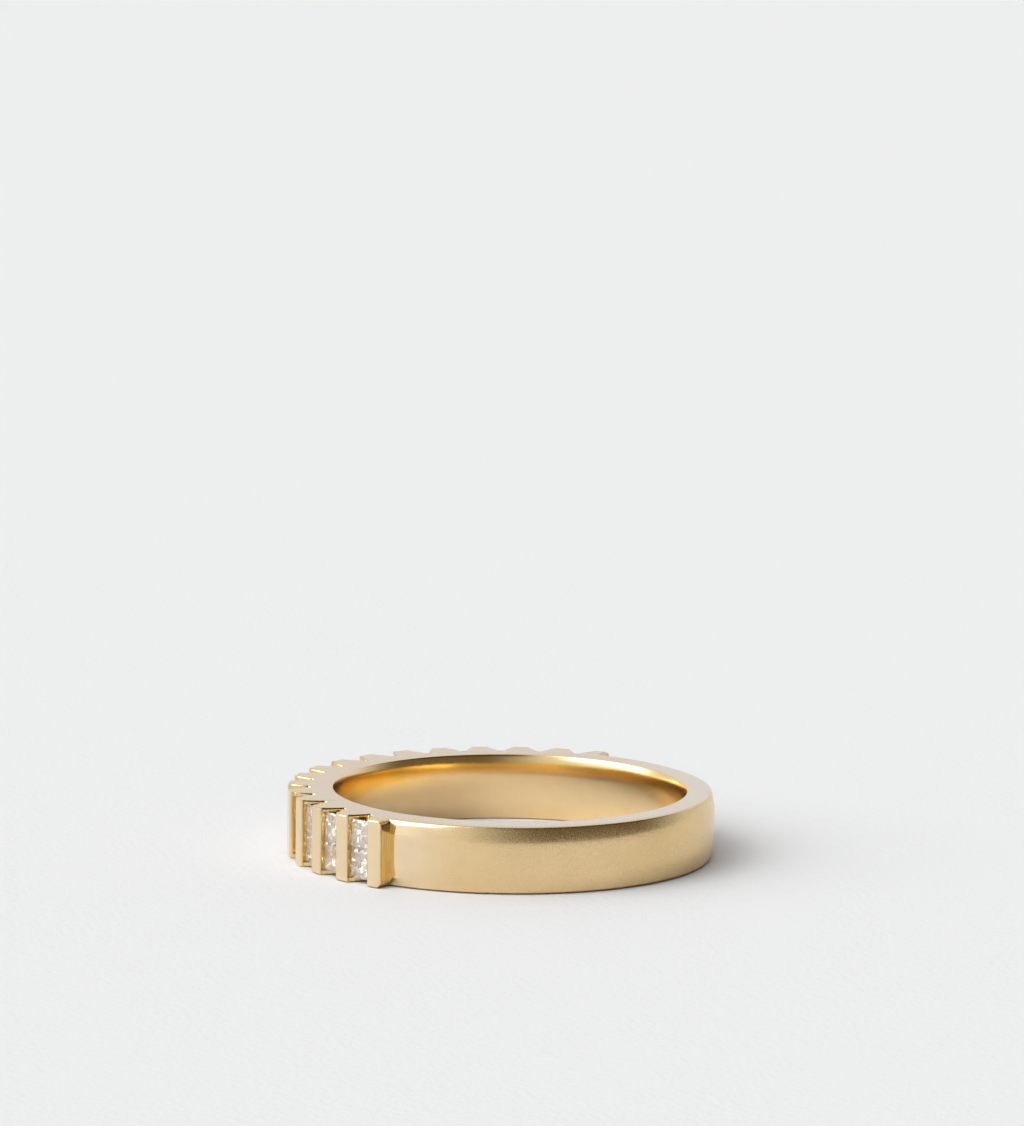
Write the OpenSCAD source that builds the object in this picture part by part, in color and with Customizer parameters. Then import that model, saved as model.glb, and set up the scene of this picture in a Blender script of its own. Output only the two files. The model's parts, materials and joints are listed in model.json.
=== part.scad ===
// Half eternity band: a plain gold shank, sixteen bars over half of the
// circumference and a pair of princess-cut stones between each two bars.
// The ring's axis is Z, the origin is the middle of the finger hole, and the
// middle of the row of stones faces -Y.

/* [Band] */
// Radius of the finger hole
bore_r = 8.6; // [8.5:0.05:9]
// Width of the band from rim to rim
band_w = 3.3; // [3.3:0.05:3.6]
// Thickness of the shank between the finger hole and its outside
shank_t = 1.67; // [1.6:0.01:1.7]
// How far the outside is shifted towards the stones
head_shift = 0.2; // [0.15:0.01:0.25]
// Height of each softened edge, inside and outside
soft_h = 1.05; // [0.8:0.05:1.2]
// Radius of the arc that softens an edge
soft_r = 4; // [3:0.1:6]

/* [Bars] */
// Number of bars
bar_count = 16; // [4:1:18]
// Bar positions that a full circle would have
bar_places = 32; // [31:1:32]
// Width of a bar
bar_w = 0.84; // [0.8:0.01:0.86]
// Height of a bar's face above the finger hole
bar_h = 2.37; // [2.32:0.01:2.4]
// Rounding along the two long edges of a bar
bar_edge_r = 0.12; // [0.05:0.01:0.2]
// Rounding of a bar's face down to each rim
bar_end_r = 0.25; // [0.1:0.01:0.3]
// Radius of the round notch between two bars
notch_r = 0.62; // [0.61:0.01:0.64]
// Distance from the finger hole to the middle of a notch
notch_in = 1.79; // [1.75:0.01:1.83]

/* [Stones] */
// Side of a square stone
stone_w = 1.42; // [1.4:0.01:1.43]
// Gap that is left around each stone
stone_gap = 0.02; // [0.01:0.005:0.03]
// Depth of the girdles below the bars' faces
girdle_in = 0.29; // [0.28:0.01:0.32]
// Height of a stone's crown above its girdle
crown_h = 0.15; // [0.1:0.01:0.17]
// Depth of a stone's pavilion below its girdle
pavilion_h = 0.8; // [0.75:0.01:0.82]

/* [Rails] */
// Thickness of the fine rail at each end of a pair of stones
rail_t = 0.1; // [0.08:0.01:0.15]
// Depth of a rail, measured along the radius
rail_deep = 0.37; // [0.3:0.01:0.4]

/* [Hidden] */
$fn = 96;
half_w = band_w / 2;
shank_r = bore_r + shank_t;
bar_r = bore_r + bar_h;
bar_pitch = 360 / bar_places;
notch_c = bore_r + notch_in;
// Outside of the metal that carries the bars
head_r = notch_c - 0.34;
head_from = 1;
girdle_r = bar_r - girdle_in;
girdle_t = 0.03;
// The bars start this far inside the metal of the shank
bar_root = bore_r + 0.9;
// The seat reaches this far below and above the girdle
seat_below = 0.22;
seat_above = 0.08;
seat_w = stone_w + 2 * stone_gap;
seat_half = stone_w + 1.5 * stone_gap;
rail_r = girdle_r + 0.04;
rail_w = 1.3;
corner_cut = 0.06;
over = 1;

stone_columns = bar_count - 1;

// The first column is the one towards +X
function column_angle(i) = -90 + (stone_columns / 2 - i - 0.5) * bar_pitch;
function bar_angle(i) = -90 + (stone_columns / 2 - i) * bar_pitch;
function two_digits(n) = n < 10 ? str("0", n) : str(n);
function row_names(row) = [for (i = [1 : stone_columns]) str(row, "_stone_", two_digits(i))];

// Half of a solid of revolution whose edge falls away along an arc at each
// rim, from a straight stretch of radius r
module soft_profile(r) {
    straight = half_w - soft_h;
    translate([0, -straight]) square([r, 2 * straight]);
    translate([0, -half_w]) square([r - soft_r, band_w]);
    for (side = [-1, 1])
        intersection() {
            translate([r - soft_r, side * straight]) circle(soft_r);
            translate([r - soft_r, side > 0 ? straight : -half_w]) square([soft_r, soft_h]);
        }
}

// The shank's outside, shifted towards the stones so that the head is thicker
module shank() {
    translate([0, -head_shift, 0]) rotate_extrude() soft_profile(shank_r);
}

// The finger hole: straight in the middle, opening along an arc at each rim
module finger_hole() {
    straight = half_w - soft_h;
    translate([0, 0, -half_w - over]) cylinder(r = bore_r, h = band_w + 2 * over);
    rotate_extrude()
        for (side = [-1, 1])
            difference() {
                translate([bore_r - over, side > 0 ? straight : -half_w - over])
                    square([2 * over, soft_h + over]);
                translate([bore_r + soft_r, side * straight]) circle(soft_r);
            }
}

// One bar, lying along +X: rounded along its long edges and at its two ends
module bar() {
    intersection() {
        translate([0, 0, -half_w]) linear_extrude(band_w) bar_plan();
        rotate([90, 0, 0]) translate([0, 0, -bar_w]) linear_extrude(2 * bar_w) bar_side();
    }
}

module bar_plan() {
    translate([bar_root, -bar_w / 2]) square([bar_r - bar_root - bar_edge_r, bar_w]);
    translate([bar_root, -bar_w / 2 + bar_edge_r])
        square([bar_r - bar_root, bar_w - 2 * bar_edge_r]);
    for (side = [-1, 1])
        translate([bar_r - bar_edge_r, side * (bar_w / 2 - bar_edge_r)]) circle(bar_edge_r);
}

module bar_side() {
    translate([bar_root - over, -half_w]) square([bar_r - bar_root + over - bar_end_r, band_w]);
    translate([bar_root - over, -half_w + bar_end_r])
        square([bar_r - bar_root + over, band_w - 2 * bar_end_r]);
    for (side = [-1, 1])
        translate([bar_r - bar_end_r, side * (half_w - bar_end_r)]) circle(bar_end_r);
}

// The fine rails that close a pair of stones towards the two rims
module rails() {
    for (side = [-1, 1])
        translate([rail_r - rail_deep, -rail_w / 2, side > 0 ? seat_half : -seat_half - rail_t])
            cube([rail_deep, rail_w, rail_t]);
}

// The shank's outside from the middle of the first bar to the middle of the
// last, which makes way for the bars
module head_space() {
    reach = 2 * bar_r;
    intersection() {
        difference() {
            cylinder(r = bar_r, h = band_w + 2 * over, center = true);
            cylinder(r = head_r, h = band_w + 4 * over, center = true);
        }
        translate([-reach, -reach - head_from, -band_w]) cube([2 * reach, reach, 2 * band_w]);
    }
}

// Round notch through the band between two bars
module notch() {
    translate([notch_c, 0, -half_w - over]) cylinder(r = notch_r, h = band_w + 2 * over);
}

// Grooves in the two bars beside a pair of stones
module seat() {
    translate([girdle_r - seat_below, -seat_w / 2, -seat_half])
        cube([seat_below + seat_above, seat_w, 2 * seat_half]);
}

module band() {
    color("gold")
    difference() {
        union() {
            difference() {
                shank();
                head_space();
                for (i = [0 : stone_columns - 1]) rotate([0, 0, column_angle(i)]) notch();
            }
            for (i = [0 : bar_count - 1]) rotate([0, 0, bar_angle(i)]) bar();
            for (i = [0 : stone_columns - 1]) rotate([0, 0, column_angle(i)]) rails();
        }
        for (i = [0 : stone_columns - 1]) rotate([0, 0, column_angle(i)]) seat();
        finger_hole();
    }
}

// Everything on the far side of a facet's plane. The plane is tilted by
// slope from the girdle's plane, faces azimuth az, and meets the stone's
// axis at height at; side is 1 for the crown and -1 for the pavilion.
module beyond(az, slope, at, side) {
    rotate([0, 0, az]) translate([0, 0, side * at]) rotate([0, side * slope, 0])
        translate([-4, -4, side > 0 ? 0 : -4]) cube([8, 8, 4]);
}

// Facets of the stone, each family as [turn from the side's middle, slope,
// height on the axis]
half_stone = stone_w / 2;
crown_slope = 33;
corner_slope = 24;
pavilion_facets = [
    [14, 42, pavilion_h],
    [18, 48, pavilion_h * 1.09],
    [10, 55, pavilion_h * 1.29]
];

// Princess-cut stone with its girdle at z = 0 and its table towards +Z
module stone_shape() {
    corner_reach = half_stone * sqrt(2) - corner_cut / 2;
    difference() {
        intersection() {
            translate([-half_stone, -half_stone, -pavilion_h - over])
                cube([stone_w, stone_w, pavilion_h + over + crown_h]);
            rotate([0, 0, 45]) translate([-corner_reach, -corner_reach, -pavilion_h - over])
                cube([2 * corner_reach, 2 * corner_reach, pavilion_h + over + crown_h]);
        }
        for (side = [0 : 90 : 270]) {
            beyond(side, crown_slope, half_stone * tan(crown_slope) + girdle_t / 2, 1);
            beyond(side + 45, corner_slope, corner_reach * tan(corner_slope) + girdle_t / 2, 1);
            for (f = pavilion_facets, turn = [-1, 1])
                beyond(side + turn * f[0], f[1], f[2], -1);
        }
    }
}

// One stone of column i; level is 1 for the upper row and -1 for the lower
module stone(i, level) {
    color("white")
    rotate([0, 0, column_angle(i)])
        translate([girdle_r, 0, level * (stone_w + stone_gap) / 2])
            rotate([0, 90, 0]) stone_shape();
}

band();
for (i = [0 : stone_columns - 1]) {
    stone(i, 1);
    stone(i, -1);
}
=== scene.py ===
import json
import math
import bmesh
import bpy
from mathutils import Matrix, Vector


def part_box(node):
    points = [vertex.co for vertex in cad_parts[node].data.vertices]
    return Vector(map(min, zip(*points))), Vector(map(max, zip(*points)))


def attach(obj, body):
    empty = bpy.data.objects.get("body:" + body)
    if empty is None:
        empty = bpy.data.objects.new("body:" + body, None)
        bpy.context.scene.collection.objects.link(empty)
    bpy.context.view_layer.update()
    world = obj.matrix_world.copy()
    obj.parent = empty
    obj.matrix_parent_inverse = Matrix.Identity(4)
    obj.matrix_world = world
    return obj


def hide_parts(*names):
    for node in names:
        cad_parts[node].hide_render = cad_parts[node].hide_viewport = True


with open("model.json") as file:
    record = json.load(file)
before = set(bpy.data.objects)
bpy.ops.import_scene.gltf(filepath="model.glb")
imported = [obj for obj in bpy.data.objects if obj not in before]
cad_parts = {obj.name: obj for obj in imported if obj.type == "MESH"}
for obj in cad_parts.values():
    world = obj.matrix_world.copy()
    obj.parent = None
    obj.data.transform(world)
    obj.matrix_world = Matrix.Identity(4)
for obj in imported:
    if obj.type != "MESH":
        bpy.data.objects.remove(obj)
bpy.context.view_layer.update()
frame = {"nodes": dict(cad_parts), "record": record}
print("frame loaded:", len(frame["nodes"]), "nodes")

# the ring is drawn in millimetres and shrunk to metres once it is finished
mm = 0.001
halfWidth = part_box("band")[1].z / mm
holeMount = next(m for m in frame["record"]["mounts"] if m["name"] == "finger_hole")
holeRadius = holeMount["dims"]["r_mm"]
weld = 0.001    # points nearer to each other than this count as one


# small helpers that every piece uses

def meshFrom(bm, name):
    mesh = bpy.data.meshes.new(name)
    bm.to_mesh(mesh)
    bm.free()
    return mesh


def objectFrom(bm, name):
    made = bpy.data.objects.new(name, meshFrom(bm, name))
    bpy.context.scene.collection.objects.link(made)
    return made


def applyModifiers(piece):
    ready = piece.evaluated_get(bpy.context.evaluated_depsgraph_get())
    done = bpy.data.meshes.new_from_object(ready)
    piece.modifiers.clear()
    piece.data = done


def carve(piece, tool, operation):
    cut = piece.modifiers.new(operation, "BOOLEAN")
    cut.solver = "MANIFOLD"
    cut.operation = operation
    cut.object = tool
    applyModifiers(piece)
    bpy.data.objects.remove(tool)


def block(bm, low, high):
    size = [h - l for l, h in zip(low, high)]
    middle = [(h + l) / 2 for l, h in zip(low, high)]
    place = Matrix.Translation(middle) @ Matrix.Diagonal((*size, 1))
    return bmesh.ops.create_cube(bm, size=1, matrix=place)["verts"]


def turnAround(bm, verts, degrees):
    turn = Matrix.Rotation(math.radians(degrees), 3, "Z")
    bmesh.ops.rotate(bm, verts=verts, cent=(0, 0, 0), matrix=turn)


def aroundHead(name, drawOne, angles):
    # one shape, repeated at each polar angle
    one = bmesh.new()
    drawOne(one)
    pattern = meshFrom(one, name)
    row = bmesh.new()
    for angle in angles:
        row.from_mesh(pattern)
        fresh = row.verts[:][-len(pattern.vertices):]
        turnAround(row, fresh, angle)
    return objectFrom(row, name)


# the gold band: shank, bars, notches, webs and seats, one soldered piece

ring = {
    "wall": 1.67,          # thickness of the shank
    "headShift": 0.2,      # how far its outside is pushed towards the stones
    "softHeight": 1.18,    # height of each softened edge outside
    "softRadius": 4.0,     # radius of that softening
    "rimArcs": [(0.12, 62), (0.45, 90)],      # radius and last lean of the arcs from there to the flat rim
    "innerArcs": [(6.0, 0.68), (1.7, 0.38)],  # radius and height of the arcs that open the finger hole
    "innerArris": 0.06,    # radius of the rounding between those and the flat rim
    "softSteps": 9,        # faces along each of these arcs
    "rimSteps": 5,
    "innerSteps": 6,
    "arrisSteps": 4,
    "columnDegrees": 0.8,  # width of one column of faces
    "barColumns": 2,       # columns from the middle of an end bar to its side
    "footColumns": 9,      # columns across the fillet beside it
    "footRadius": 0.03,    # fillet between the shank and the end bars
    "footGap": 0.004,      # the fillet is cut off this near to the bar
    "footMargin": 0.1,     # degrees by which the fine columns reach past the fillet
    "cutWeld": 0.0002,     # points that the cuts leave count as one when nearer than this
    "flatFrom": 0.9999,    # a face whose normal points up or down this much is shaded flat
    "sharpFrom": 34,       # degrees between two faces from which their edge stays sharp
}
bars = {
    "count": 16,
    "pitch": 11.25,        # degrees from bar to bar
    "width": 0.84,
    "faceRadius": 10.97,   # from the axis to a bar's face
    "rootRadius": 9.55,
    "endRound": 0.13,      # rounding from the face down to the rims
    "shoulderRound": 0.3,  # from the rims down to the open side of the two end bars
    "edgeRound": 0.15,     # rounding along the side walls
    "roundSteps": 7,
}

barAngles = [-90 + (bars["count"] / 2 - 0.5 - i) * bars["pitch"] for i in range(bars["count"])]
columnAngles = [a - bars["pitch"] / 2 for a in barAngles[:-1]]


def sweepPoint(bm, vert, centre, degrees, steps):
    swept = bmesh.ops.spin(bm, geom=[vert], cent=centre, axis=(0, 1, 0), dvec=(0, 0, 0),
                           angle=math.radians(degrees), steps=steps)
    return next(g for g in swept["geom_last"] if isinstance(g, bmesh.types.BMVert))


def pullPoint(bm, vert, place):
    grown = bmesh.ops.extrude_vert_indiv(bm, verts=[vert])["verts"][0]
    grown.co = place
    return grown


def innerArcs():
    # centre of each arc inside the finger hole and the lean at its start, from the middle up to the rim
    arcs = []
    lean = 0
    heights = sum(height for radius, height in ring["innerArcs"])
    last = math.asin(sum(height / radius for radius, height in ring["innerArcs"]))
    x, z = holeRadius, halfWidth - heights - ring["innerArris"] * (1 - math.sin(last))
    for radius, height in ring["innerArcs"]:
        arcs.append(((x + radius * math.cos(lean), 0, z - radius * math.sin(lean)), math.degrees(lean)))
        higher = math.asin(math.sin(lean) + height / radius)
        x += radius * (math.cos(lean) - math.cos(higher))
        z += height
        lean = higher
    corner = (x + ring["innerArris"] * math.cos(lean), 0, halfWidth - ring["innerArris"])
    arcs.append((corner, math.degrees(lean)))
    return arcs


def rimArcs():
    # lean at which the softening ends, then the centre and the turn of each arc up to the flat rim
    radii = [ring["softRadius"]] + [radius for radius, last in ring["rimArcs"]]
    height = ring["softHeight"]
    for i, (radius, last) in enumerate(ring["rimArcs"]):
        following = radii[i + 2] if i + 2 < len(radii) else 0
        height -= (radius - following) * math.sin(math.radians(last))
    lean = math.degrees(math.asin(height / (radii[0] - radii[1])))
    arcs = []
    x, z = holeRadius + ring["wall"] - radii[0], halfWidth - ring["softHeight"]
    start = lean
    for i, (radius, last) in enumerate(ring["rimArcs"]):
        x += (radii[i] - radius) * math.cos(math.radians(start))
        z += (radii[i] - radius) * math.sin(math.radians(start))
        arcs.append(((x, 0, z), last - start))
        start = last
    return lean, arcs


def drawSection(bm):
    # the shank's outline from the middle of its outside over the upper rim into the hole, then mirrored
    soft = ring["softRadius"]
    outside = holeRadius + ring["wall"]
    straight = halfWidth - ring["softHeight"]
    lean, outerArcs = rimArcs()
    arcs = innerArcs()
    innerCorner, innerLean = arcs.pop()
    point = bm.verts.new((outside, 0, 0))
    point = pullPoint(bm, point, (outside, 0, straight))
    point = sweepPoint(bm, point, (outside - soft, 0, straight), -lean, ring["softSteps"])
    for centre, turn in outerArcs:
        point = sweepPoint(bm, point, centre, -turn, ring["rimSteps"])
    point = pullPoint(bm, point, (innerCorner[0], 0, halfWidth))
    point = sweepPoint(bm, point, innerCorner, innerLean - 90, ring["arrisSteps"])
    for centre, start in reversed(arcs):
        point = sweepPoint(bm, point, centre, start - innerLean, ring["innerSteps"])
        innerLean = start
    point = pullPoint(bm, point, (holeRadius, 0, 0))
    bmesh.ops.mirror(bm, geom=bm.verts[:] + bm.edges[:], matrix=Matrix.Identity(4), merge_dist=weld, axis="Z")


def footRise(vert, barAngle, side):
    # how far the fillet beside an end bar lifts a point of the shank's outside
    across = Matrix.Rotation(math.radians(-barAngle), 3, "Z") @ vert.co
    gap = side * across.y - bars["width"] / 2
    radius = ring["footRadius"]
    if across.x < 0 or gap > radius:
        return 0
    return radius - math.sqrt(radius ** 2 - (radius - max(gap, ring["footGap"])) ** 2)


def drawShank():
    bm = bmesh.new()
    drawSection(bm)
    firstBar, lastBar = barAngles[0], barAngles[-1]
    turnAround(bm, bm.verts[:], firstBar)
    outside = holeRadius + ring["wall"]
    barTurn = math.degrees(math.asin(bars["width"] / 2 / outside))
    footTurn = math.degrees(ring["footRadius"] / outside) + ring["footMargin"]
    headTurn = firstBar - lastBar
    plain = 360 - headTurn - 2 * (barTurn + footTurn)
    last = bm.verts[:] + bm.edges[:]
    for degrees, steps in ((barTurn, ring["barColumns"]), (footTurn, ring["footColumns"]),
                           (plain, round(plain / ring["columnDegrees"])),
                           (footTurn, ring["footColumns"]), (barTurn, ring["barColumns"]),
                           (headTurn, round(headTurn / ring["columnDegrees"]))):
        spun = bmesh.ops.spin(bm, geom=last, cent=(0, 0, 0), axis=(0, 0, 1), dvec=(0, 0, 0),
                              angle=math.radians(degrees), steps=steps)
        last = spun["geom_last"]
    bmesh.ops.remove_doubles(bm, verts=bm.verts[:], dist=weld)
    middle = holeRadius + ring["wall"] / 2
    for vert in bm.verts:
        radius = vert.co.xy.length
        if radius < middle:
            continue
        rise = max(footRise(vert, firstBar, 1), footRise(vert, lastBar, -1))
        vert.co.xy *= (radius + rise) / radius
        vert.co.y -= ring["headShift"]
    bmesh.ops.recalc_face_normals(bm, faces=bm.faces[:])
    return objectFrom(bm, "bandGold")


def barBlock(name, edgeTest, radius):
    # the bar's block with one family of parallel edges rounded
    bm = bmesh.new()
    half = bars["width"] / 2
    block(bm, (bars["rootRadius"], -half, -halfWidth), (bars["faceRadius"], half, halfWidth))
    chosen = [e for e in bm.edges if edgeTest((e.verts[0].co + e.verts[1].co) / 2)]
    bmesh.ops.bevel(bm, geom=chosen, offset=radius, affect="EDGES", segments=bars["roundSteps"],
                    profile=0.5, material=-1)
    return objectFrom(bm, name)


def makeBar(openSide=0):
    # the end bars are rounded more towards the shank, on the side given by openSide
    face, side, end = bars["faceRadius"] - weld, bars["width"] / 2 - weld, halfWidth - weld
    bar = barBlock("bar", lambda middle: middle.x > face and abs(middle.y) > side, bars["edgeRound"])
    ends = barBlock("barEnds", lambda middle: middle.x > face and abs(middle.z) > end, bars["endRound"])
    carve(bar, ends, "INTERSECT")
    if openSide:
        shoulders = barBlock("barShoulders",
                             lambda middle: middle.y * openSide > side and abs(middle.z) > end,
                             bars["shoulderRound"])
        carve(bar, shoulders, "INTERSECT")
    return bar


def barRow(name, angles, openSide=0):
    bar = makeBar(openSide)
    row = aroundHead(name, lambda bm: bm.from_mesh(bar.data), angles)
    bpy.data.objects.remove(bar)
    return row


webs = {
    "from": 9.9,           # from the axis to a web's inner and outer side
    "to": 10.78,
    "width": 1.4,
    "inner": 1.45,         # from the middle of the band to where a web begins
    "edgeRound": 0.12,
    "roundSteps": 3,
}


def drawWebs(bm):
    # closes the space between two bars along both rims, before the notch is cut
    half = webs["width"] / 2
    for side in (-1, 1):
        low, high = sorted((side * webs["inner"], side * halfWidth))
        verts = block(bm, (webs["from"], -half, low), (webs["to"], half, high))
        corner = [v for v in verts if v.co.x > webs["to"] - weld and v.co.z * side > halfWidth - weld]
        edges = [e for e in corner[0].link_edges if e.other_vert(corner[0]) == corner[1]]
        bmesh.ops.bevel(bm, geom=edges, offset=webs["edgeRound"], affect="EDGES",
                        segments=webs["roundSteps"], profile=0.5, material=-1)


notches = {
    "tipRadius": 0.2,      # rounding at the deepest point
    "tipAt": 9.99,         # from the axis to the middle of that rounding
    "tipPoints": 6,        # corners along that rounding, and degrees from one to the next
    "tipTurn": 15,
    "tipStart": 0.6,       # share of the flank's slope at which it begins
    "mouthAt": 11.05,      # from the axis to the open end
    "mouthWidth": 1.5,
    "arris": 0.1,          # rounding of the cut's edges at the rims
    "arrisSteps": 4,
    "over": 1,             # how far the cutter reaches past the rims
}


def notchLoop(bm, grow, z):
    # one level of the cutter: a V with a rounded tip, widened by the given amount
    reach = notches["mouthAt"] - notches["tipAt"]
    half = notches["mouthWidth"] / 2
    slope = math.atan2(half - notches["tipRadius"], reach)
    start = 90 - math.degrees(slope) * notches["tipStart"]
    arc = [math.radians(start + notches["tipTurn"] * i) for i in range(notches["tipPoints"])]
    radius = notches["tipRadius"] + grow
    outline = []
    for side in (-1, 1):
        points = [(notches["tipAt"] + radius * math.cos(q), side * radius * math.sin(q), z) for q in arc]
        points.insert(0, (notches["mouthAt"], side * (half + grow), z))
        outline += points if side < 0 else points[-2::-1]
    verts = [bm.verts.new(point) for point in outline]
    return [bm.edges.new(pair) for pair in zip(verts, verts[1:] + verts[:1])]


def drawNotch(bm):
    # the cutter flares at both rims, so that it leaves a rounded edge; its levels run from the top down
    arris = notches["arris"]
    levels = [(arris, halfWidth + notches["over"])]
    for i in range(notches["arrisSteps"], -1, -1):
        turn = math.radians(90 * i / notches["arrisSteps"])
        levels.append((arris * (1 - math.cos(turn)), halfWidth - arris + arris * math.sin(turn)))
    levels.append((0, 0))
    loops = [notchLoop(bm, grow, z) for grow, z in levels]
    bmesh.ops.edgeloop_fill(bm, edges=loops[0])
    for upper, lower in zip(loops, loops[1:]):
        bmesh.ops.bridge_loops(bm, edges=upper + lower)
    half = bm.verts[:] + bm.edges[:] + bm.faces[:]
    bmesh.ops.mirror(bm, geom=half, matrix=Matrix.Identity(4), merge_dist=weld, axis="Z")
    bmesh.ops.recalc_face_normals(bm, faces=bm.faces[:])


seats = {
    "from": 10.12,         # from the axis to the inner and outer side of the grooves in the bars
    "to": 10.6,
    "width": 1.46,
    "half": 1.45,          # from the middle of the band to their ends
}


def drawSeat(bm):
    half = seats["width"] / 2
    block(bm, (seats["from"], -half, -seats["half"]), (seats["to"], half, seats["half"]))


def finishBand(band):
    # welds what the cuts left, shrinks the band to metres and keeps the flat rims flat
    bm = bmesh.new()
    bm.from_mesh(band.data)
    bmesh.ops.remove_doubles(bm, verts=bm.verts[:], dist=ring["cutWeld"])
    bmesh.ops.dissolve_degenerate(bm, edges=bm.edges[:], dist=ring["cutWeld"])
    bmesh.ops.scale(bm, vec=(mm, mm, mm), verts=bm.verts[:])
    bm.normal_update()
    for face in bm.faces:
        face.smooth = abs(face.normal.z) < ring["flatFrom"]
    bm.to_mesh(band.data)
    bm.free()
    band.data.set_sharp_from_angle(angle=math.radians(ring["sharpFrom"]))
    even = band.modifiers.new("evenNormals", "WEIGHTED_NORMAL")
    even.keep_sharp = True


def makeBand():
    band = drawShank()
    carve(band, aroundHead("webBlocks", drawWebs, columnAngles), "UNION")
    carve(band, aroundHead("notchCutters", drawNotch, columnAngles), "DIFFERENCE")
    carve(band, barRow("innerBars", barAngles[1:-1]), "UNION")
    carve(band, barRow("firstBar", barAngles[:1], 1), "UNION")
    carve(band, barRow("lastBar", barAngles[-1:], -1), "UNION")
    carve(band, aroundHead("seatCutters", drawSeat, columnAngles), "DIFFERENCE")
    finishBand(band)
    print("band:", len(band.data.vertices), "vertices", len(band.data.polygons), "faces")
    return band


# the stones: princess cuts, drawn with the table up and then turned so that it faces outwards

princess = {
    "side": 1.438,
    "girdleAt": 10.58,     # from the ring's axis
    "rowAt": 0.72,         # from the middle of the band to the middle of each row
    "depth": 0.85,         # depth and height of the block that the facets are cut from
    "crown": 0.08,
    # facets as turn from the side's middle, slope from the girdle's plane and height on the axis
    "crownFacets": [(0, 27, 0.376), (14, 22, 0.365), (-14, 22, 0.365), (45, 19, 0.362)],
    "pavilionFacets": [(16, 41, 0.793), (-16, 41, 0.793), (8, 43, 0.7875), (-8, 43, 0.7875),
                       (3, 45, 0.7826), (-3, 45, 0.7826), (0, 46.5, 0.78)],
    "onPlane": 0.00001,    # points nearer to a facet's plane than this lie on it
}


def sliceOff(bm, turn, slope, at, side):
    # removes everything beyond a facet's plane and closes the cut
    turned, leaned = math.radians(turn), math.radians(slope)
    across = math.sin(leaned)
    normal = Vector((across * math.cos(turned), across * math.sin(turned), side * math.cos(leaned)))
    bmesh.ops.bisect_plane(bm, geom=bm.verts[:] + bm.edges[:] + bm.faces[:], dist=princess["onPlane"],
                           plane_co=(0, 0, side * at), plane_no=normal, clear_outer=True)
    bmesh.ops.holes_fill(bm, edges=[e for e in bm.edges if e.is_boundary], sides=0)


def drawStone(bm):
    half = princess["side"] / 2
    block(bm, (-half, -half, -princess["depth"]), (half, half, princess["crown"]))
    for side in range(0, 360, 90):
        for turn, slope, at in princess["crownFacets"]:
            sliceOff(bm, side + turn, slope, at, 1)
        for turn, slope, at in princess["pavilionFacets"]:
            sliceOff(bm, side + turn, slope, at, -1)
    # now the table faces along X
    bmesh.ops.rotate(bm, verts=bm.verts[:], cent=(0, 0, 0), matrix=Matrix.Rotation(math.radians(90), 3, "Y"))


def makeStones():
    one = bmesh.new()
    drawStone(one)
    pattern = meshFrom(one, "stonePattern")
    pieces = []
    for row, height in (("upper", princess["rowAt"]), ("lower", -princess["rowAt"])):
        for i, angle in enumerate(columnAngles):
            bm = bmesh.new()
            bm.from_mesh(pattern)
            bmesh.ops.translate(bm, verts=bm.verts[:], vec=(princess["girdleAt"], 0, height))
            turnAround(bm, bm.verts[:], angle)
            bmesh.ops.scale(bm, vec=(mm, mm, mm), verts=bm.verts[:])
            name = row + "_stone_" + str(i + 1).zfill(2)
            pieces.append((name, objectFrom(bm, name + "_cut")))
    print("stones:", len(pieces), "with", len(pattern.polygons), "facets each")
    return pieces


# small helpers that every material uses

def newMaterial(name):
    material = bpy.data.materials.new(name)
    material.use_nodes = True
    tree = material.node_tree
    shader = next(n for n in tree.nodes if n.type == "BSDF_PRINCIPLED")
    return material, tree, shader


def addNode(tree, kind, **values):
    node = tree.nodes.new(kind)
    for name, value in values.items():
        if hasattr(node, name):
            setattr(node, name, value)
        else:
            node.inputs[name].default_value = value
    return node


def wiredMath(tree, operation, *sources):
    node = addNode(tree, "ShaderNodeMath", operation=operation)
    for socket, source in zip(node.inputs, sources):
        if isinstance(source, (int, float)):
            socket.default_value = source
        else:
            tree.links.new(source, socket)
    return node.outputs[0]


def plus(tree, first, second):
    return wiredMath(tree, "ADD", first, second)


def times(tree, first, second):
    return wiredMath(tree, "MULTIPLY", first, second)


def inverse(tree, share):
    return wiredMath(tree, "SUBTRACT", 1, share)


def between(tree, source, limits):
    # rises softly from 0 at the first limit to 1 at the second
    node = addNode(tree, "ShaderNodeMapRange", interpolation_type="SMOOTHSTEP")
    tree.links.new(source, node.inputs["Value"])
    node.inputs["From Min"].default_value, node.inputs["From Max"].default_value = limits
    return node.outputs[0]


def mixColours(tree, factor, low, high):
    node = addNode(tree, "ShaderNodeMix", data_type="RGBA")
    tree.links.new(factor, node.inputs[0])
    for socket, colour in ((node.inputs[6], low), (node.inputs[7], high)):
        if isinstance(colour, tuple):
            socket.default_value = (*colour, 1)
        else:
            tree.links.new(colour, socket)
    return node.outputs[2]


def mixValues(tree, factor, low, high):
    node = tree.nodes.new("ShaderNodeMix")
    tree.links.new(factor, node.inputs[0])
    for socket, value in ((node.inputs[2], low), (node.inputs[3], high)):
        if isinstance(value, (int, float)):
            socket.default_value = value
        else:
            tree.links.new(value, socket)
    return node.outputs[0]


def separated(tree, vector):
    node = tree.nodes.new("ShaderNodeSeparateXYZ")
    tree.links.new(vector, node.inputs[0])
    return node.outputs


def scaled(tree, where, size):
    # the pattern repeats over the given size or, for a tuple, over one size per axis
    node = tree.nodes.new("ShaderNodeMapping")
    tree.links.new(where, node.inputs["Vector"])
    sizes = size if isinstance(size, tuple) else (size, size, size)
    node.inputs["Scale"].default_value = [1 / s for s in sizes]
    return node.outputs[0]


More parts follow.
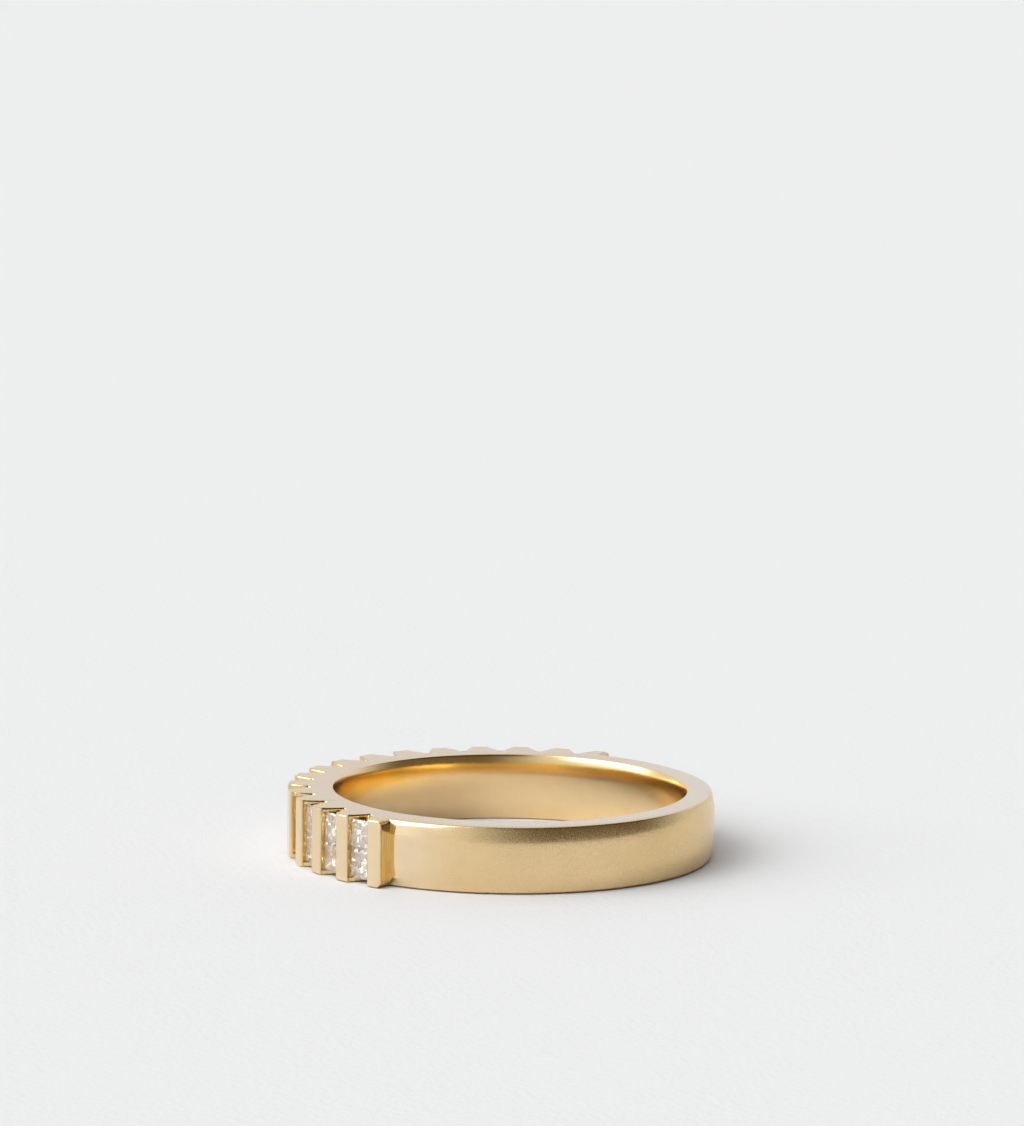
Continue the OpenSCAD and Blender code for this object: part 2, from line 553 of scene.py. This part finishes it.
def turnedBy(tree, vector, degrees):
    node = addNode(tree, "ShaderNodeVectorRotate", rotation_type="Z_AXIS", Angle=math.radians(degrees))
    tree.links.new(vector, node.inputs["Vector"])
    return node.outputs[0]


def noise(tree, where, size, detail, roughness=0.5):
    node = addNode(tree, "ShaderNodeTexNoise", Scale=1.0, Detail=detail, Roughness=roughness)
    tree.links.new(scaled(tree, where, size), node.inputs["Vector"])
    return node.outputs["Fac"]


def addBump(tree, height, distance, strength=1, below=None):
    # waves of the given height, on top of the relief below
    node = addNode(tree, "ShaderNodeBump", Distance=distance)
    tree.links.new(height, node.inputs["Height"])
    if isinstance(strength, (int, float)):
        node.inputs["Strength"].default_value = strength
    else:
        tree.links.new(strength, node.inputs["Strength"])
    if below is not None:
        tree.links.new(below, node.inputs["Normal"])
    return node.outputs[0]


# the gold: one alloy with a satin shank and polished bars, whose colours carry painted light: a brighter
# finger hole with painted reflection and shade, paler flat rims as painted sheen, darker bar walls and shank
# back as painted shade

gold = {
    # base colours of the shank, the bars, the finger hole and the rims, with painted light and shade in most
    # of them
    "face": (0.835, 0.615, 0.335),
    # painted shade: the back of the shank darker than the rest of the satin face
    "backFace": (0.765, 0.56, 0.285),
    # paler beside the bars: a real polish, with a painted highlight in its colour
    "polishedFace": (0.89, 0.705, 0.455),
    # the bars' side walls, darker than the faces as painted shade, striped by their file marks
    "barWall": (0.87, 0.64, 0.29),
    "barWallDeep": (0.66, 0.46, 0.185),
    # the finger hole, brighter than the shank as painted light
    "inner": (0.945, 0.7, 0.38),
    # deeper orange inside the hole, painted reflection of gold mirrored in gold
    "innerEdge": (0.93, 0.645, 0.21),
    "innerDeep": (0.97, 0.68, 0.155),
    "innerShaded": (0.64, 0.455, 0.235),
    # paler flat rims as painted sheen, less of it beside the stones
    "rim": (0.83, 0.7, 0.54),
    "rimByStones": (0.83, 0.635, 0.43),
    # where they lie, in millimetres
    "edgeFrom": (0.6, 1.2),      # heights over which the hole's painted edge reflection begins
    "edgeTo": (1.2, 1.45),       # and over which it ends below the rim
    "upperFrom": (-0.2, 1.1),    # heights over which the painted deep reflection takes over from the painted shade
    "headSide": (6.8, 8.6),      # the painted deep reflection lies behind the middle stones
    "shadedSide": (3.5, 7.5),    # the painted shade reaches further
    "backFrom": (8.5, 9.9),      # how far back the shank takes its darker tone, which is painted shade
    "satinFrom": (1.0, 4.5),     # distance from the first bar over which the satin begins
    "holeReach": (0.25, 0.35),   # from the hole's wall to where its finish ends
    # shares of a surface's facing, 1 being straight on
    "holeFacing": (0.25, 0.55),  # towards the axis, from which it counts as the hole's
    "wallFacing": (0.35, 0.65),  # towards the axis or away from it, up to which it counts as a side wall
    "rimFacing": (0.84, 0.96),   # up or down, from which it counts as a flat rim
    # clouds in the colour
    "cloudSize": 1.6,
    "cloudDepth": 0.09,
    "cloudDetail": 3.5,
    "cloudRoughness": 0.72,      # how much of the clouding is fine
    # roughness at the smooth and the rough end of the mottling
    "faceRoughness": (0.1, 0.33),
    "polished": (0.03, 0.07),    # bars and the shank beside them
    "innerRoughness": (0.13, 0.2),
    "rimRoughness": (0.15, 0.3),
    "mottleSize": 0.03,
    "mottleEdge": (0.35, 0.65),  # noise between which the mottling turns from smooth to rough
    # relief, in millimetres
    "rippleSize": 0.9,
    "rippleHeight": 0.003,
    "grainSize": 0.06,
    "grainHeight": 0.00022,
    "streakTurn": 35,            # degrees between the polishing streaks and the rim
    "streakSize": (1.1, 0.06, 1.1),
    "streakHeight": 0.0006,
    "fileSize": (0.08, 0.08, 2.5),
    "fileHeight": 0.005,
    "fileEdge": (0.4, 0.6),      # noise between which the file marks turn from deep to light in colour
}


def goldPlaces(tree):
    # coordinates in millimetres and a share from 0 to 1 for each kind of place on the band
    place = tree.nodes.new("ShaderNodeTexCoord")
    spot = scaled(tree, place.outputs["Object"], mm)
    x, y, z = separated(tree, spot)
    radius = wiredMath(tree, "SQRT", plus(tree, times(tree, x, x), times(tree, y, y)))
    facingX, facingY, facingZ = separated(tree, place.outputs["Normal"])
    outwards = plus(tree, times(tree, x, facingX), times(tree, y, facingY))
    outwards = wiredMath(tree, "DIVIDE", outwards, radius)
    facingHole = between(tree, times(tree, outwards, -1), gold["holeFacing"])
    past = between(tree, radius, [holeRadius + reach for reach in gold["holeReach"]])
    rim = between(tree, wiredMath(tree, "ABSOLUTE", facingZ), gold["rimFacing"])
    sideways = inverse(tree, between(tree, wiredMath(tree, "ABSOLUTE", outwards), gold["wallFacing"]))

    # the satin is counted along the shank from the middle of the stones
    outside = holeRadius + ring["wall"]
    turn = wiredMath(tree, "ARCTAN2", wiredMath(tree, "ABSOLUTE", x), times(tree, y, -1))
    firstBar = math.radians(barAngles[0] + 90) * outside
    satin = between(tree, times(tree, turn, outside), [firstBar + start for start in gold["satinFrom"]])
    return {"spot": spot, "x": x, "y": y, "z": z, "radius": radius, "rim": rim, "satin": satin,
            "inside": times(tree, facingHole, inverse(tree, past)),
            "sideWall": times(tree, sideways, inverse(tree, rim)),
            "fileMarks": noise(tree, spot, gold["fileSize"], detail=2)}


def outerTone(tree, places):
    # painted shade darkens the back of the satin shank; the paler polished face beside the bars carries a
    # painted highlight
    satinAndShadeTone = mixColours(tree, between(tree, places["y"], gold["backFrom"]), gold["face"], gold["backFace"])
    tone = mixColours(tree, places["satin"], gold["polishedFace"], satinAndShadeTone)
    # painted shade on the bars' side walls, with the file marks striping it
    marks = between(tree, places["fileMarks"], gold["fileEdge"])
    shadedWallTone = mixColours(tree, marks, gold["barWallDeep"], gold["barWall"])
    return mixColours(tree, places["sideWall"], tone, shadedWallTone)


def innerTone(tree, places):
    # painted reflection and shade in the hole: a deeper orange edge below the upper rim, and behind the
    # stones a deeper orange above painted shade
    z = places["z"]
    headwards = times(tree, places["y"], -1)
    upper = between(tree, z, gold["upperFrom"])
    belowRim = inverse(tree, between(tree, z, gold["edgeTo"]))
    edge = times(tree, between(tree, z, gold["edgeFrom"]), belowRim)
    deep = times(tree, between(tree, headwards, gold["headSide"]), times(tree, upper, belowRim))
    shaded = times(tree, between(tree, headwards, gold["shadedSide"]), inverse(tree, upper))
    tone = mixColours(tree, shaded, gold["inner"], gold["innerShaded"])
    tone = mixColours(tree, edge, tone, gold["innerEdge"])
    return mixColours(tree, deep, tone, gold["innerDeep"])


def goldColour(tree, places):
    tone = mixColours(tree, places["inside"], outerTone(tree, places), innerTone(tree, places))
    # painted sheen on the flat rims, weaker beside the stones
    rimSheenTone = mixColours(tree, places["satin"], gold["rimByStones"], gold["rim"])
    tone = mixColours(tree, places["rim"], tone, rimSheenTone)
    depth = gold["cloudDepth"]
    clouds = noise(tree, places["spot"], gold["cloudSize"], gold["cloudDetail"], gold["cloudRoughness"])
    clouded = addNode(tree, "ShaderNodeVectorMath", operation="SCALE")
    tree.links.new(tone, clouded.inputs[0])
    tree.links.new(plus(tree, 1 - depth, times(tree, clouds, 2 * depth)), clouded.inputs["Scale"])
    return clouded.outputs[0]


def goldRoughness(tree, places):
    mottling = noise(tree, places["spot"], gold["mottleSize"], detail=1)
    mottling = between(tree, mottling, gold["mottleEdge"])
    face, polished, inner, rim = [mixValues(tree, mottling, *gold[finish]) for finish in
                                  ("faceRoughness", "polished", "innerRoughness", "rimRoughness")]
    rough = mixValues(tree, places["satin"], polished, face)
    rough = mixValues(tree, places["inside"], rough, inner)
    return mixValues(tree, places["rim"], rough, rim)


def goldRelief(tree, places):
    # slow waviness, grain, polishing streaks and the file marks on the bars' side walls
    along = wiredMath(tree, "ARCTAN2", places["y"], places["x"])
    unrolled = tree.nodes.new("ShaderNodeCombineXYZ")
    tree.links.new(times(tree, along, holeRadius + ring["wall"]), unrolled.inputs[0])
    tree.links.new(places["z"], unrolled.inputs[1])
    tree.links.new(places["radius"], unrolled.inputs[2])
    leaning = turnedBy(tree, unrolled.outputs[0], gold["streakTurn"])
    ripples = noise(tree, places["spot"], gold["rippleSize"], detail=1)
    grain = noise(tree, places["spot"], gold["grainSize"], detail=2)
    streaks = noise(tree, leaning, gold["streakSize"], detail=2)
    relief = addBump(tree, ripples, gold["rippleHeight"] * mm)
    relief = addBump(tree, grain, gold["grainHeight"] * mm, places["satin"], relief)
    relief = addBump(tree, streaks, gold["streakHeight"] * mm, places["satin"], relief)
    return addBump(tree, places["fileMarks"], gold["fileHeight"] * mm, places["sideWall"], relief)


def goldMaterial():
    material, tree, shader = newMaterial("satinGold")
    places = goldPlaces(tree)
    tree.links.new(goldColour(tree, places), shader.inputs["Base Color"])
    tree.links.new(goldRoughness(tree, places), shader.inputs["Roughness"])
    tree.links.new(goldRelief(tree, places), shader.inputs["Normal"])
    shader.inputs["Metallic"].default_value = 1
    return material


# the stones' clear finish, tinted warm as painted reflection of the gold seat

stone = {
    # warm tint: painted reflection of the gold seat, seen in the stones' facets
    "colour": (1.0, 0.89, 0.77, 1),
    "clearness": 0.78,
    "bend": 2.42,
    "glintSize": 0.23,    # millimetres across one of the fine facets
    "glintTilt": 0.25,    # how far they lean
}


def stoneMaterial():
    material, tree, shader = newMaterial("clearStone")
    shader.inputs["Base Color"].default_value = stone["colour"]
    shader.inputs["Roughness"].default_value = 0
    shader.inputs["IOR"].default_value = stone["bend"]
    shader.inputs["Transmission Weight"].default_value = stone["clearness"]

    # fine facets: each cell leans its own way
    place = tree.nodes.new("ShaderNodeTexCoord")
    cells = addNode(tree, "ShaderNodeTexVoronoi", Scale=1.0)
    tree.links.new(scaled(tree, place.outputs["Object"], stone["glintSize"] * mm), cells.inputs["Vector"])
    lean = addNode(tree, "ShaderNodeVectorMath", operation="SUBTRACT")
    lean.inputs[1].default_value = (0.5, 0.5, 0.5)
    tree.links.new(cells.outputs["Color"], lean.inputs[0])
    tilted = addNode(tree, "ShaderNodeVectorMath", operation="MULTIPLY_ADD")
    tilted.inputs[1].default_value = [2 * stone["glintTilt"]] * 3
    tree.links.new(lean.outputs[0], tilted.inputs[0])
    surface = tree.nodes.new("ShaderNodeNewGeometry")
    tree.links.new(surface.outputs["Normal"], tilted.inputs[2])
    levelled = addNode(tree, "ShaderNodeVectorMath", operation="NORMALIZE")
    tree.links.new(tilted.outputs[0], levelled.inputs[0])
    tree.links.new(levelled.outputs[0], shader.inputs["Normal"])
    return material


# the pale sheet that the ring lies on

paper = {
    "size": 5.0,          # metres
    "colour": (0.686, 0.6735, 0.663, 1),
    "roughness": 0.6,
    "sheen": 0.02,        # how much the paper shines
    "fibreSize": 0.35,    # millimetres
    "fibreHeight": 0.02,
    "sink": 0.03,         # the ring stands on the highest fibres, a hair above the sheet
}


def paperMaterial():
    material, tree, shader = newMaterial("palePaper")
    shader.inputs["Base Color"].default_value = paper["colour"]
    shader.inputs["Roughness"].default_value = paper["roughness"]
    shader.inputs["Specular IOR Level"].default_value = paper["sheen"]
    place = tree.nodes.new("ShaderNodeTexCoord")
    fibres = noise(tree, place.outputs["Object"], paper["fibreSize"] * mm, detail=3)
    tree.links.new(addBump(tree, fibres, paper["fibreHeight"] * mm), shader.inputs["Normal"])
    return material


def makeFloor():
    bm = bmesh.new()
    bmesh.ops.create_grid(bm, x_segments=1, y_segments=1, size=paper["size"] / 2)
    bmesh.ops.translate(bm, verts=bm.verts[:], vec=(0, 0, -(halfWidth + paper["sink"]) * mm))
    floor = objectFrom(bm, "floor")
    floor.data.materials.append(paperMaterial())


# the camera: the photograph's angle and framing, from a fit to the two rims

shot = {
    "azimuth": 120.9,         # degrees, as are the elevation and the roll
    "elevation": 11.23,
    "roll": -0.751,
    "distance": 0.3,          # metres
    "clip": (0.01, 100),
    "sensor": 36,             # millimetres
    "focalPixels": 6078,
    "frameHeight": 1126,
    "aim": (-2.35, 256.8),    # pixels from the middle of the frame to the ring's middle
}


def makeCamera():
    a, e = math.radians(shot["azimuth"]), math.radians(shot["elevation"])
    back = Vector((math.sin(a) * math.cos(e), -math.cos(a) * math.cos(e), math.sin(e)))
    right = Vector((math.cos(a), math.sin(a), 0))
    level = Matrix((right, back.cross(right), back)).transposed()
    turnSide = math.atan(shot["aim"][0] / shot["focalPixels"])
    turnUp = math.atan(shot["aim"][1] / shot["focalPixels"])
    aim = (Matrix.Rotation(math.radians(-shot["roll"]), 3, "Z") @ Matrix.Rotation(turnSide, 3, "Y")
           @ Matrix.Rotation(turnUp, 3, "X"))
    data = bpy.data.cameras.new("camera")
    data.sensor_width = shot["sensor"]
    data.lens = shot["focalPixels"] / shot["frameHeight"] * shot["sensor"]
    data.clip_start, data.clip_end = shot["clip"]
    camera = bpy.data.objects.new("camera", data)
    bpy.context.scene.collection.objects.link(camera)
    camera.matrix_world = Matrix.Translation(back * shot["distance"]) @ (level @ aim).to_4x4()
    bpy.context.scene.camera = camera


# the sky, drawn by direction: a dim room with soft bright and dark patches over each other

sky = {
    "room": (0.15, 0.12, 0.073),
    # azimuths run from the camera's side towards the picture's left, in degrees, and heights upwards
    "patches": [
        # backdrop behind the ring
        {"azimuth": (85, 259), "azimuthSoft": 46, "height": (-20, 60), "heightSoft": 20,
         "light": (0.8, 0.82, 0.85)},
        # its upper part
        {"azimuth": (80, 260), "azimuthSoft": 40, "height": (30, 74), "heightSoft": 14,
         "light": (0.85, 0.85, 0.85)},
        # wall on the left
        {"azimuth": (8, 110), "azimuthSoft": 56, "height": (-20, 66), "heightSoft": 12,
         "light": (0.85, 0.86, 0.85)},
        # the part of it that gets more light
        {"azimuth": (48, 112), "azimuthSoft": 20, "height": (-20, 66), "heightSoft": 12,
         "light": (1.04, 1.05, 1.04)},
        # window in that wall
        {"azimuth": (38, 100), "azimuthSoft": 12, "height": (11, 62), "heightSoft": 5,
         "slope": 0.25, "light": (3.5, 3.55, 3.65)},
        # dark side of the room
        {"azimuth": (-125, 12), "azimuthSoft": 24, "height": (26, 100), "heightSoft": 12,
         "light": (0.045, 0.035, 0.02)},
        # ceiling, all the way round
        {"azimuth": (-181, 181), "azimuthSoft": 0.1, "height": (68, 120), "heightSoft": 14,
         "light": (0.5, 0.49, 0.47)},
    ],
}


def softBand(tree, source, limits, width):
    # 1 between the limits, fading over the given width at each of them
    low, high = limits
    rise = between(tree, source, (low - width / 2, low + width / 2))
    fall = between(tree, source, (high - width / 2, high + width / 2))
    return wiredMath(tree, "SUBTRACT", rise, fall)


def patchShare(tree, patch, azimuth, height):
    # azimuths are counted from the patch's own middle, so that no patch crosses the seam at 180
    low, high = patch["azimuth"]
    middle = (low + high) / 2
    offset = wiredMath(tree, "WRAP", wiredMath(tree, "SUBTRACT", azimuth, middle), 180, -180)
    across = softBand(tree, offset, (low - middle, high - middle), patch["azimuthSoft"])
    lifted = plus(tree, height, times(tree, offset, patch.get("slope", 0)))
    return times(tree, across, softBand(tree, lifted, patch["height"], patch["heightSoft"]))


def makeSky():
    world = bpy.data.worlds.new("studio")
    bpy.context.scene.world = world
    world.use_nodes = True
    tree = world.node_tree
    place = tree.nodes.new("ShaderNodeTexCoord")
    # after the turn X points to the camera's side and Y to the picture's right
    direction = turnedBy(tree, place.outputs["Generated"], 90 - shot["azimuth"])
    towards, right, up = separated(tree, direction)
    azimuth = wiredMath(tree, "ARCTAN2", times(tree, right, -1), towards)
    azimuth = times(tree, azimuth, math.degrees(1))
    height = times(tree, wiredMath(tree, "ARCSINE", up), math.degrees(1))
    colour = sky["room"]
    for patch in sky["patches"]:
        colour = mixColours(tree, patchShare(tree, patch, azimuth, height), colour, patch["light"])
    tree.links.new(colour, tree.nodes["Background"].inputs["Color"])


# two lamps that the gold doesn't mirror: a broad weak one for the paper, and one that is seen only
# through the stones, for the light that they gather

fill = {
    "turn": -28,       # degrees from the camera's side towards the picture's right
    "height": 50,
    "spread": 70,
    "strength": 1.6,
    "colour": (0.94, 1.0, 1.06),
}
glow = {
    "turn": 0,
    "height": 20,
    "spread": 150,
    "strength": 8,
    "colour": (1.0, 1.0, 1.0),
}


def makeLamp(name, values):
    lamp = bpy.data.lights.new(name, "SUN")
    lamp.energy = values["strength"]
    lamp.angle = math.radians(values["spread"])
    lamp.color = values["colour"]
    holder = bpy.data.objects.new(name, lamp)
    bpy.context.scene.collection.objects.link(holder)
    turn = math.radians(shot["azimuth"] + values["turn"])
    holder.rotation_euler = (math.radians(90 - values["height"]), 0, turn)
    holder.visible_glossy = False
    return holder


# putting the scene together

band = makeBand()
band.data.materials.clear()
band.data.materials.append(goldMaterial())
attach(band, "root")
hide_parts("band")

clearStone = stoneMaterial()
for name, piece in makeStones():
    piece.data.materials.append(clearStone)
    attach(piece, "root")
    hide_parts(name)

makeFloor()
makeCamera()
makeSky()
makeLamp("fill", fill)
stoneLamp = makeLamp("glow", glow)
stoneLamp.visible_diffuse = False
bpy.context.scene.view_settings.view_transform = "Standard"
print("floor, camera and light ready")
